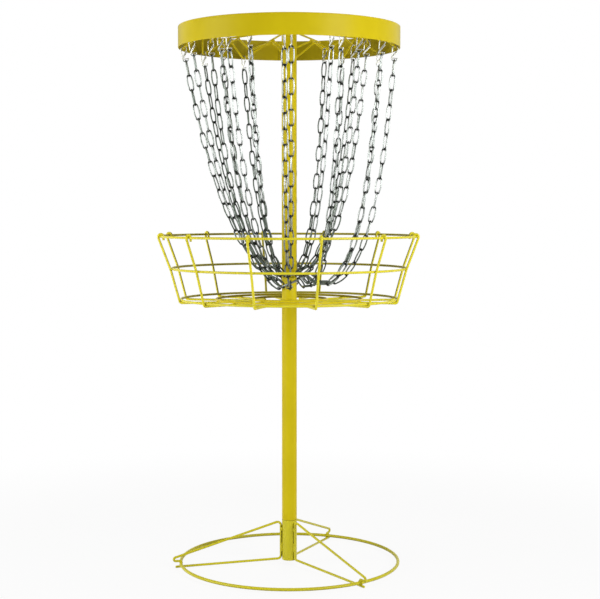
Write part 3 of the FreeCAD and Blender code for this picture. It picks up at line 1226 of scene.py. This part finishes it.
    def welds(self) -> list[Skin]:
        """Tacks at both ends of each spoke and where the hangers' tips meet under it.

        Returns:
            The beads.
        """
        rod, beads = WeldRod(29), []
        inner, outer = self.weld_gaps
        ends = (self.pole + inner, self.band_r - self.sheet - outer)
        inward, above = self.tip_weld
        for i in range(self.count):
            angle = self.spoke_at(i)
            side = polar(1.0, angle + 90.0)
            for spot in (polar(end, angle, self.spoke_z) for end in ends):
                for offset in (side * -self.tack_gap, side * self.tack_gap):
                    beads.append(rod.tack(spot + offset, UP, *self.side_tack))
                beads.append(rod.tack(spot - UP * (self.wire - HAIR), side, *self.under_tack))
            for row in self.rows:
                under = polar(row.tip - inward, angle, self.tip_z + above)
                beads.append(rod.tack(under, side, *self.tip_tack))
        return beads


@dataclass(frozen=True)
class Link:
    """One chain link: round wire bent to a long oval and welded on one side."""

    wire: float = 0.0018
    half_width: float = 0.0067  # these two to the wire's centre line
    half_length: float = 0.0203
    end_bend: float = 0.0051
    sides: int = 10
    weld: Pair = (0.17, 0.0012)  # swell of the weld as a share of the wire, and its width
    worn: Pair = (0.0062, 0.0022)  # from the link's end, where the darkening of its end starts and is full
    dark_inside: float = 0.36  # how dark the painted shade inside the loop is
    bearing: Pair = (0.72, 0.28)  # how dark its ends are, partly grime where links bear and partly painted shade, and how much more inside

    def route(self) -> np.ndarray:
        """Centre line of the wire, with the ends along Z and the loop across X.

        Returns:
            The line's points, of which the last meets the first.
        """
        shoulder, slim = self.half_length - self.end_bend, self.half_width - self.end_bend
        bow = (self.half_width**2 + shoulder**2 - self.end_bend**2) / (2 * slim)
        lean = math.atan2(shoulder, bow - self.half_width)
        turns = np.linspace(lean, math.pi - lean, 13)
        x, z = self.end_bend * np.cos(turns), shoulder + self.end_bend * np.sin(turns)
        top = np.stack([x, np.zeros(13), z], axis=-1)
        weld = np.array((9.0, 5.0, 3.0, 2.0, 1.2, 0.5, -0.5, -1.2, -2.0, -3.0, -5.0, -9.0)) * MM
        plain = np.array((-9.0, -4.5, 0.0, 4.5, 9.0)) * MM
        sides = [
            np.stack([s * (np.sqrt(bow**2 - h**2) - bow + self.half_width), h * 0.0, h], axis=-1)
            for s, h in ((-1.0, weld), (1.0, plain))
        ]
        return np.concatenate([top, sides[0], -top, sides[1]])

    def skin(self) -> Skin:
        """Skin of the link, with painted shade inside its loop, darkest at its ends: partly grime
        where the next one bears, partly painted shade.

        Returns:
            The skin.
        """
        route = self.route()
        swell, width = self.weld
        on_weld = (route[:, 0] < 0.0) * hump(route[:, 2], width)
        skin = sweep(route, self.wire * (1.0 + swell * on_weld), self.sides, closed=True)
        centre = np.repeat(route, self.sides, axis=0)
        shoulder = self.half_length - self.end_bend
        core = np.clip(centre, (0.0, 0.0, -shoulder), (0.0, 0.0, shoulder))
        inward = np.einsum("ij,ij->i", unit(skin.points - centre), unit(core - centre))
        end = ease(np.abs(centre[:, 2]), *(self.half_length - back for back in self.worn))
        whole, inside = self.bearing
        dark = self.dark_inside * ease(inward, 0.0, 0.9)
        dark = dark + end * (whole + inside * ease(inward, -0.7, 0.3))
        skin.marks[Mark.SHADE_AND_GRIME] = np.clip(dark, 0.0, 1.0)
        return skin


@dataclass(frozen=True)
class Hook:
    """S-hook of round wire that joins a chain's top link to its hanger."""

    wire: float = 0.0014
    bow: float = 0.0073  # half its width, to the wire's centre line
    top: float = 0.0194  # from its middle to the wire over the hanger
    foot: float = 0.0200  # from its middle to the wire under the link
    tail: float = 0.0050  # how far each free end runs past its middle
    bend: float = 0.0070  # where a bow turns into the slanting middle run
    sides: int = 12
    straight: float = 0.0020  # from a bow's end to that bend
    dark_inside: float = 0.8  # how dark the insides of its bows are
    dark_from: float = 0.0030  # above the bow's centre
    inner_side: Pair = (0.0012, 0.0004)  # short of the wire's line and past it, where it fades
    rub_and_painted_sheen: float = 0.50  # how much lighter the hook's plate is painted as a sheen, down to the link
    painted_sheen_end: Pair = (0.012, 0.017)  # below its middle

    def route(self) -> np.ndarray:
        """Centre line from the upper free end to the lower one, across X and along Z.

        Returns:
            The line's points.
        """
        high, low = self.top - self.bow, self.foot - self.bow
        turns = np.linspace(math.pi, 0.0, 15)
        over = self.bow * np.stack([np.cos(turns), np.zeros(15), np.sin(turns)], axis=-1)
        right, left = over[-1] + UP * high, -over[-1] - UP * low
        corners = [right, right - UP * self.straight, left + UP * self.straight, left]
        slant = bent_route(corners, [self.bend] * 2, turn=10.0)[1:-1]
        ends = np.array(((-self.bow, 0.0, -self.tail), (self.bow, 0.0, self.tail)))
        return np.concatenate([ends[:1], over + UP * high, slant, -over - UP * low, ends[1:]])

    def skin(self) -> Skin:
        """Skin of the hook, darker inside both bows where it bears, and painted lighter as a
        sheen down to the link.

        Returns:
            The skin.
        """
        skin = cut_bar(self.route(), self.wire, self.sides)
        low, high = self.bow - self.foot, self.top - self.bow
        core = np.clip(skin.points, (0.0, 0.0, low), (0.0, 0.0, high))
        depth = np.linalg.norm(skin.points - core, axis=1)
        z = skin.points[:, 2]
        short, past = self.inner_side
        inside = 1.0 - ease(depth, self.bow - short, self.bow + past)
        skin.marks[Mark.SHADE_AND_GRIME] = self.dark_inside * (np.abs(z) > high + self.dark_from) * inside
        # painted sheen: the plate is tinted lighter from the hook's top down to the link
        skin.marks[Mark.RUB_AND_PAINTED_SHEEN] = self.rub_and_painted_sheen * (1.0 - ease(-z, *self.painted_sheen_end))
        return skin


def loose_parts(piece: bpy.types.Object) -> list[np.ndarray]:
    """Find the separate solids of a frame node.

    Args:
        piece: The node's object.

    Returns:
        Corner points of each solid.
    """
    mesh = piece.data
    flat = np.empty(len(mesh.vertices) * 3, dtype=np.float32)
    mesh.vertices.foreach_get("co", flat)
    corners, number = np.unique(flat.reshape(-1, 3), axis=0, return_inverse=True)
    ends = np.empty(len(mesh.edges) * 2, dtype=np.int32)
    mesh.edges.foreach_get("vertices", ends)
    ends = number.ravel()[ends].reshape(-1, 2)
    label = np.arange(len(corners))
    changed = True
    while changed:
        least = label[ends].min(axis=1)
        settled = label.copy()
        np.minimum.at(settled, ends[:, 0], least)
        np.minimum.at(settled, ends[:, 1], least)
        changed = bool((settled != label).any())
        label = settled
    return [corners[label == value].astype(float) for value in np.unique(label)]


@dataclass
class ChainCurtain(SubAssembly):
    """Two rows of hanging chains, link by link."""

    rows: tuple[str, ...] = ("outer", "inner")
    count: int = 12
    link: Link = field(default_factory=Link)
    hook: Hook = field(default_factory=Hook)
    pitch: float = 0.037
    lean: float = 26.0  # most that a chain's middle turns about its own line, in degrees
    play: float = 5.0  # most that one link turns from its place, in degrees
    ripple: float = 0.4  # share of the lean that comes and goes along a chain
    waves: Pair = (4.0, 9.0)  # how often it does, in radians from end to end
    lit_side: float = -50.0  # angle of the side whose chains are painted lighter, as if better lit
    tone: float = 0.46  # of an average link, from 0 for bright to 1 for dark
    painted_light_tone: float = 0.30  # painted lighter on the lit side, darker across from it
    painted_shade_at_pole: float = 0.60  # painted darker near the pole, where the chains hang in shade
    spread: Pair = (0.16, 0.2)  # chance differences of tone between chains and between links
    hook_tones: Pair = (0.0, 0.4)

    def build(self) -> None:
        """Build every chain in place of its CAD node."""
        link, hook = self.link.skin(), self.hook.skin()
        for r, row in enumerate(self.rows):
            for i in range(self.count):
                node = f"{row}_chain_{i + 1:02d}"
                skins = self.chain(node, link, hook, 100 * r + i)
                self.place(f"{row}_links_{i + 1:02d}", skins, node, [node])

    def sway(self, share: np.ndarray, chance: np.random.Generator) -> np.ndarray:
        """How far each link turns about its chain's line.

        Args:
            share: Each link's place along the chain, from 0 to 1.
            chance: Source of random numbers.

        Returns:
            The turns, in radians.
        """
        slack = np.sin(math.pi * share)
        drift = chance.uniform(-self.lean, self.lean) * slack
        twist = np.sin(share * chance.uniform(*self.waves) + chance.uniform(0.0, 6.0))
        drift += self.ripple * self.lean * slack * twist
        return np.radians(drift + chance.uniform(-self.play, self.play, len(share)))

    def tones(self, share: np.ndarray, side: float, chance: np.random.Generator) -> np.ndarray:
        """How dark each link is: painted light on the lit side, painted shade near the pole, and
        chance.

        Args:
            share: Each link's place along the chain, from 0 to 1.
            side: Angle of the chain's upper end.
            chance: Source of random numbers.

        Returns:
            The tones.
        """
        turned = math.cos(math.radians(side - self.lit_side))
        chains, links = self.spread
        whole = self.tone - self.painted_light_tone * turned + chance.uniform(-chains, chains)
        whole = whole + self.painted_shade_at_pole * (1.0 - ease(share, 0.02, 0.5))
        return whole + chance.uniform(-links, links, len(share))

    def chain(self, node: str, link: Skin, hook: Skin, seed: int) -> list[Skin]:
        """Links of one chain and the hook at its top, where the frame has them.

        Args:
            node: CAD node of the chain.
            link: Skin of one link about its own centre.
            hook: Skin of one hook about its own centre.
            seed: Start of the chain's random numbers.

        Returns:
            The links and the hook, from the lower end up.
        """
        chance = np.random.default_rng(seed)
        parts = loose_parts(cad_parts[node])
        parts.sort(key=lambda part: math.hypot(*part.mean(axis=0)[:2]))
        centres = np.array([part.mean(axis=0) for part in parts])
        share = np.linspace(0.0, 1.0, len(parts))
        side = math.degrees(math.atan2(centres[-1, 1], centres[-1, 0]))
        turns, tones = self.sway(share, chance), self.tones(share, side, chance)
        travel = np.gradient(centres, axis=0)
        skins: list[Skin] = []
        for part, centre, way, turn, tone in zip(parts[:-1], centres, travel, turns, tones):
            axes = np.linalg.svd(part - centre, full_matrices=False)[2]
            along = axes[0] * (1.0 if axes[0] @ way > 0 else -1.0)
            wide = axes[1] * chance.choice((-1.0, 1.0))
            thick = np.cross(along, wide)
            cos, sin = math.cos(turn), math.sin(turn)
            basis = np.stack([wide * cos + thick * sin, thick * cos - wide * sin, along], axis=-1)
            skins.append(link.moved(basis, centre).toned(tone))
        joint = centres[-2] + along * self.pitch / 2
        basis = self.hook_basis(parts[-1], centres[-1], joint)
        return skins + [hook.moved(basis, centres[-1]).toned(chance.uniform(*self.hook_tones))]

    def hook_basis(self, part: np.ndarray, centre: np.ndarray, joint: np.ndarray) -> np.ndarray:
        """Axes of a hook, with its free ends on the sides that the frame has them.

        Args:
            part: Corner points of the frame's hook.
            centre: Its middle.
            joint: Where it meets the link below it.

        Returns:
            The hook's X, Y and Z axes, as columns.
        """
        along = unit(centre - joint)
        thick = np.linalg.svd(part - centre, full_matrices=False)[2][2]
        wide = unit(np.cross(thick, along))
        ends = [centre - w * self.hook.bow - along * self.hook.tail for w in (wide, -wide)]
        gaps = [float(np.linalg.norm(part - end, axis=1).min()) for end in ends]
        wide = wide if gaps[0] < gaps[1] else -wide
        return np.stack([wide, np.cross(along, wide), along], axis=-1)


# ---------------------------------------------------------------- studio


@dataclass(frozen=True)
class Lamp:
    """Soft box: where it stands, what it faces, its size and its brightness."""

    name: str
    place: tuple[float, float, float]
    target: tuple[float, float, float]
    size: Pair
    brightness: float  # radiance of its face

    def build(self) -> None:
        """Add the lamp to the scene."""
        light = bpy.data.lights.new(self.name, "AREA")
        light.shape = "RECTANGLE"
        light.size, light.size_y = self.size
        light.energy = self.brightness * math.pi * self.size[0] * self.size[1]
        stand(self.name, light, self.place, Vector(self.target) - Vector(self.place))
        LOG.info("%s at %s", self.name, self.place)


@dataclass
class Studio:
    """Pale floor, soft boxes, surroundings and the camera."""

    lamps: tuple[Lamp, ...] = (
        Lamp("left_box", (-2.28, -0.78, 0.96), (0.0, 0.0, 0.80), (1.5, 1.8), 4.2),
        Lamp("right_box", (1.76, -1.64, 1.35), (0.0, 0.0, 1.15), (1.0, 1.4), 8.6),
        Lamp("back_box", (0.5, 2.2, 2.9), (0.0, 0.0, 0.8), (1.6, 1.8), 1.8),
        Lamp("top_box", (0.1, 0.4, 3.0), (0.0, 0.0, 0.6), (1.8, 1.8), 1.2),
    )
    ambient: float = 0.16
    ceiling: Pair = (0.30, 0.62)  # rise at which the surroundings start and end to darken
    ceiling_dark: float = 0.94
    seen_by: tuple[str, ...] = ("Is Camera Ray", "Is Glossy Ray", "Is Transmission Ray")
    floor_colours: tuple[Colour, Colour] = ((0.86, 0.86, 0.85, 1.0), (0.83, 0.83, 0.825, 1.0))
    floor_grain: float = 60.0  # waves per metre
    floor_radius: float = 14.0
    floor_fade: Pair = (0.7, 1.8)  # radii between which it turns into the background
    glow: float = 0.91  # share of it that glows near the object
    eye: tuple[float, float, float] = (0.0, -3.4559, 0.9111)
    heading: float = 0.449  # degrees towards +X
    dip: float = 3.8234  # degrees below level
    lens: float = 81.92  # these two in millimetres
    sensor: float = 36.0

    def build(self) -> None:
        """Build the whole studio."""
        self.camera()
        for lamp in self.lamps:
            lamp.build()
        self.surroundings()
        self.floor()
        bpy.context.scene.view_settings.view_transform = "Standard"

    def camera(self) -> None:
        """Place the camera and make it the scene's."""
        camera = bpy.data.cameras.new("viewpoint")
        camera.sensor_width, camera.lens = self.sensor, self.lens
        side, down = math.radians(self.heading), math.radians(self.dip)
        level = math.cos(down)
        way = (math.sin(side) * level, math.cos(side) * level, -math.sin(down))
        bpy.context.scene.camera = stand("viewpoint", camera, self.eye, way)

    def seen(self, net: Net) -> Signal:
        """1 for the rays that show the background: camera, glossy and transmission rays."""
        camera, glossy, through = (net.node("LightPath", output=ray) for ray in self.seen_by)
        return camera.at_least(glossy).at_least(through)

    def surroundings(self) -> None:
        """Soft even light, white where it is seen, under a dark ceiling."""
        world = bpy.data.worlds.new("studio_air")
        net = Net(world)
        way = net.node("TexCoord", output="Generated")
        rise = net.node("SeparateXYZ", None, {"Vector": way}, "Z")
        white = 1.0 - rise.step(*self.ceiling) * self.ceiling_dark
        level = self.ambient + self.seen(net) * (white - self.ambient)
        glow = net.node("Background", None, {"Color": WHITE, "Strength": level})
        net.node("OutputWorld", None, {"Surface": glow})
        bpy.context.scene.world = world

    def floor(self) -> None:
        """Round pale floor that keeps the shadow and fades to the background."""
        turns = 2 * math.pi * np.arange(96) / 96
        rim = np.stack([np.cos(turns), np.sin(turns), np.zeros(96)], axis=-1)
        mesh = bpy.data.meshes.new("studio_floor")
        mesh.from_pydata(rim * self.floor_radius, [], [list(range(96))])
        material = bpy.data.materials.new("pale_floor")
        net = Net(material)
        spot = net.place()
        away = net.node("VectorMath", {"operation": "LENGTH"}, {0: spot}, "Value")
        colour = net.tint(*self.floor_colours, net.noise(spot, self.floor_grain, 3.0))
        matt = net.node("BsdfPrincipled", None, {"Base Color": colour, "Roughness": 0.8})
        glow = net.node("Emission", None, {"Color": WHITE, "Strength": 1.0})
        share = self.glow + away.step(*self.floor_fade) * (1.0 - self.glow)
        net.cover(net.node("MixShader", None, {0: share * self.seen(net), 1: matt, 2: glow}))
        mesh.materials.append(material)
        stand("studio_floor", mesh)


def corners(box: tuple[Vector, Vector]) -> list[list[float]]:
    """Lowest and highest corner of a box as plain lists."""
    return [[float(x) for x in corner] for corner in box]


def main() -> None:
    """Build the studio, then every sub-assembly."""
    logging.basicConfig(level=logging.INFO, format="%(message)s")
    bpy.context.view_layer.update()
    Studio().build()
    # The yellow coats are lit and shaded copies of one powder coat: painted lighter on the
    # basket's side wires and rings, deeper on its floor wires and hub, and darker on the base.
    paint = PowderCoat("yellow_powder_coat", Slot.PAINT, sheen=0.10)
    lit_wire_paint = PowderCoat(
        "yellow_powder_coat_painted_lighter_on_wire", Slot.PAINT, (0.880, 0.780, 0.024, 1.0),
        (0.780, 0.670, 0.016, 1.0), relief=0.04, sheen=0.35,
    )
    shaded_floor_paint = PowderCoat(
        "yellow_powder_coat_painted_deeper_on_floor", Slot.PAINT, (0.860, 0.700, 0.012, 1.0),
        (0.740, 0.580, 0.008, 1.0), relief=0.06, sheen=0.15,
    )
    shaded_base_paint = PowderCoat(
        "yellow_powder_coat_painted_darker_on_base", Slot.PAINT, (0.720, 0.645, 0.020, 1.0),
        (0.600, 0.530, 0.012, 1.0), relief=0.06, sheen=0.30,
    )
    zinc = ZincPlate("bright_zinc_plate", Slot.ZINC)
    Base(shaded_base_paint).build()
    PoleSection(paint).build("pole_lower_tube", "lower_pole", Body.LOWER_POLE, 0.1162)
    PoleSection(shaded_floor_paint).build("pole_hub_tube", "basket_hub", Body.BASKET, 0.6764)
    PoleSection(paint).build("pole_upper_tube", "upper_pole", Body.TOP, 0.7362)
    Basket(lit_wire_paint, shaded_floor_paint).build()
    TopRack(paint, zinc).build()
    ChainCurtain(zinc).build()


if __name__ == "__main__":
    main()
